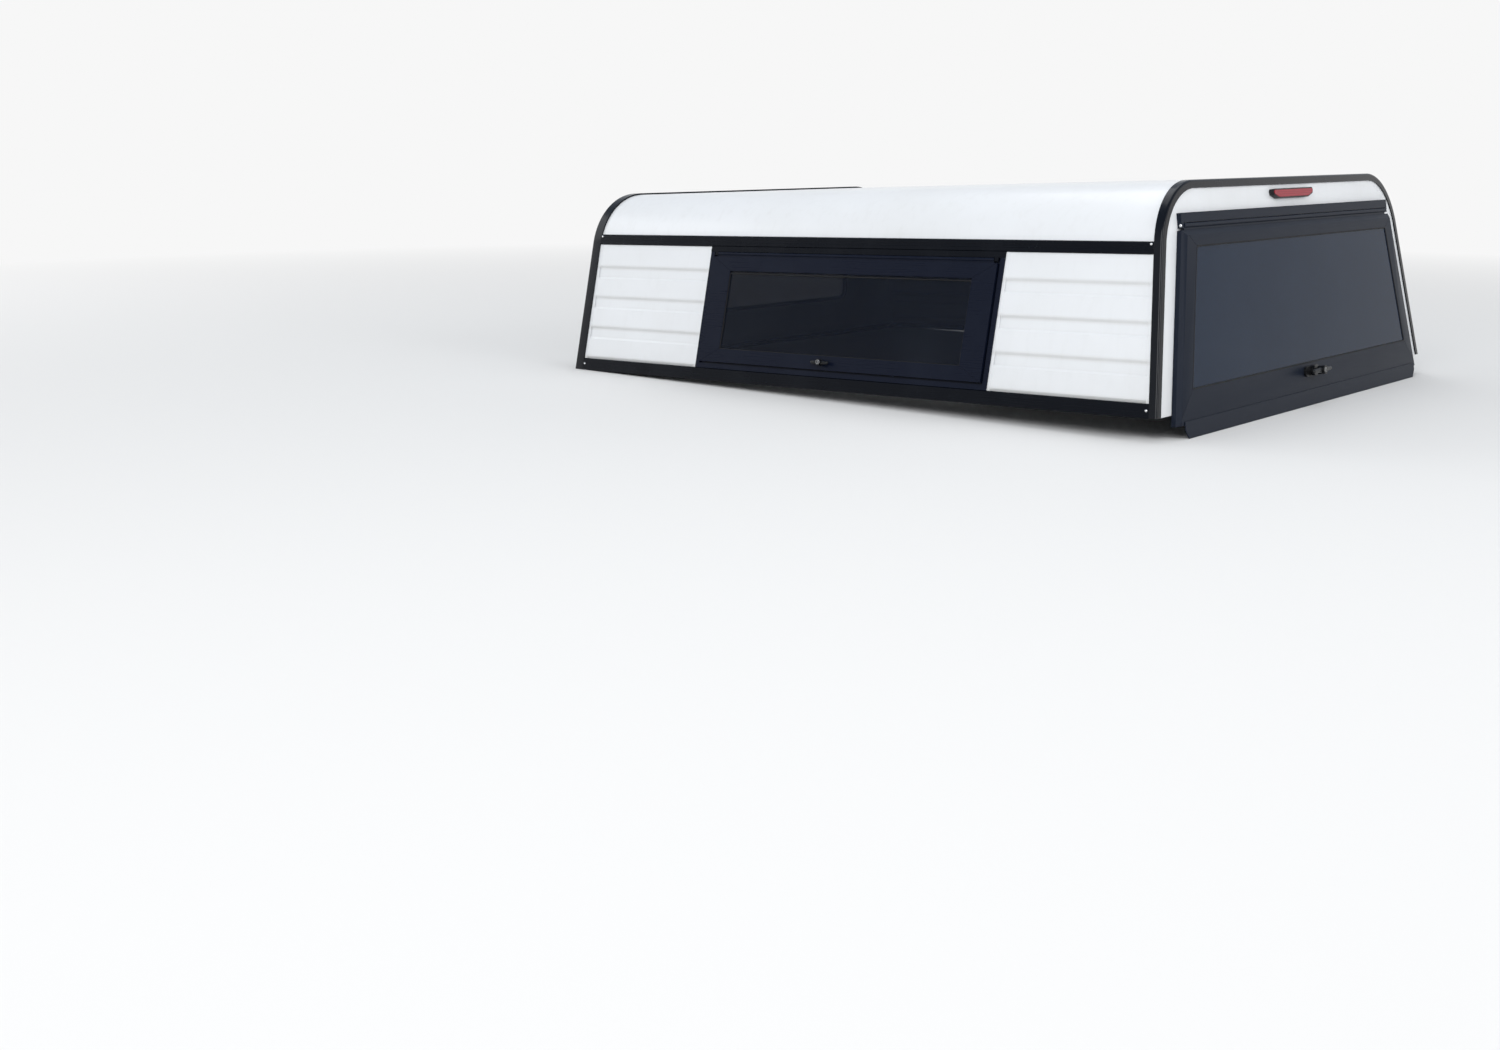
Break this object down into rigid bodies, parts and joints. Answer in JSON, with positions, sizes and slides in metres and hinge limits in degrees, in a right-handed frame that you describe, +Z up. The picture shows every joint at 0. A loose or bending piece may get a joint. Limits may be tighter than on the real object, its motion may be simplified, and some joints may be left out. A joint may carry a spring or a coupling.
{
  "type": "pickup truck canopy",
  "caption": "Hard aluminium canopy for a pickup bed, with a radius roof, ribbed white sides, black trims, side access doors and a lift-up glass rear door",
  "frame": {"origin": "middle of the canopy's footprint, on the floor plane that the rear door's skirt touches; the rails' underside is 60 mm above it", "axes": "+X forward to the cab, +Y to the left side, +Z up"},
  "size_m": [2.1232, 1.7478, 0.627],
  "materials": {
    "white_roof": "smooth gloss white paint on aluminium sheet",
    "white_siding": "gloss white paint on ribbed aluminium sheet",
    "white_panel": "gloss white paint on flat aluminium sheet",
    "black_trim": "satin black paint on aluminium extrusion",
    "charcoal_frame": "charcoal powder coat on aluminium extrusion",
    "mill_aluminium": "plain rolled aluminium",
    "tinted_glass": "dark tinted toughened glass",
    "red_lens": "moulded red lens",
    "black_plastic": "moulded black plastic",
    "black_handle": "black die-cast handle with a bright lock barrel"
  },
  "bodies": {
    "shell": {"roof_skin": "white_roof", "belt_trim_left": "black_trim", "belt_trim_right": "black_trim", "base_rail_left": "black_trim", "base_rail_right": "black_trim", "base_rail_front": "black_trim", "front_arch_trim": "black_trim", "rear_arch_trim": "black_trim", "siding_front_left": "white_siding", "siding_rear_left": "white_siding", "siding_front_right": "white_siding", "siding_rear_right": "white_siding", "bulkhead_panel": "white_panel", "bulkhead_window_frame": "black_trim", "bulkhead_window_glass": "tinted_glass", "rear_header": "white_panel", "rear_jamb_left": "white_panel", "rear_jamb_right": "white_panel", "brake_light_housing": "black_plastic", "brake_light_lens": "red_lens", "rear_hinge_rail": "charcoal_frame", "roof_bow_1": "mill_aluminium", "roof_bow_2": "mill_aluminium", "roof_bow_3": "mill_aluminium", "roof_bow_4": "mill_aluminium", "side_surround_left": "black_trim", "side_surround_right": "black_trim", "side_hinge_left": "black_trim", "side_hinge_right": "black_trim"},
    "rear_door": {"rear_door_frame": "charcoal_frame", "rear_door_glass": "tinted_glass", "rear_door_skirt": "charcoal_frame", "rear_handle_base": "black_handle"},
    "rear_handle": {"rear_handle": "black_handle"},
    "side_door_left": {"side_door_frame_left": "black_trim", "side_door_glass_left": "tinted_glass"},
    "side_handle_left": {"side_handle_left": "black_handle"},
    "side_door_right": {"side_door_frame_right": "black_trim", "side_door_glass_right": "tinted_glass"},
    "side_handle_right": {"side_handle_right": "black_handle"}
  },
  "joints": [
    {"name": "rear_door_hinge", "type": "hinge", "parent": "shell", "child": "rear_door", "pos_m": [-0.94491, 0, 0.51616], "axis": [0, 1, 0], "range_deg": [0, 80]},
    {"name": "rear_handle_turn", "type": "hinge", "parent": "rear_door", "child": "rear_handle", "pos_m": [-1.01439, 0, 0.09411], "axis": [-0.9914, 0, 0.1305], "range_deg": [0, 90]},
    {"name": "side_door_left_hinge", "type": "hinge", "parent": "shell", "child": "side_door_left", "pos_m": [0.01858, 0.76957, 0.42965], "axis": [1, 0, 0], "range_deg": [0, 75]},
    {"name": "side_handle_left_turn", "type": "hinge", "parent": "side_door_left", "child": "side_handle_left", "pos_m": [0.05058, 0.85039, 0.13498], "axis": [0, 0.9692, 0.2462], "range_deg": [0, 90]},
    {"name": "side_door_right_hinge", "type": "hinge", "parent": "shell", "child": "side_door_right", "pos_m": [0.01858, -0.76957, 0.42965], "axis": [-1, 0, 0], "range_deg": [0, 75]},
    {"name": "side_handle_right_turn", "type": "hinge", "parent": "side_door_right", "child": "side_handle_right", "pos_m": [0.05058, -0.85039, 0.13498], "axis": [0, -0.9692, 0.2462], "range_deg": [0, 90]}
  ]
}
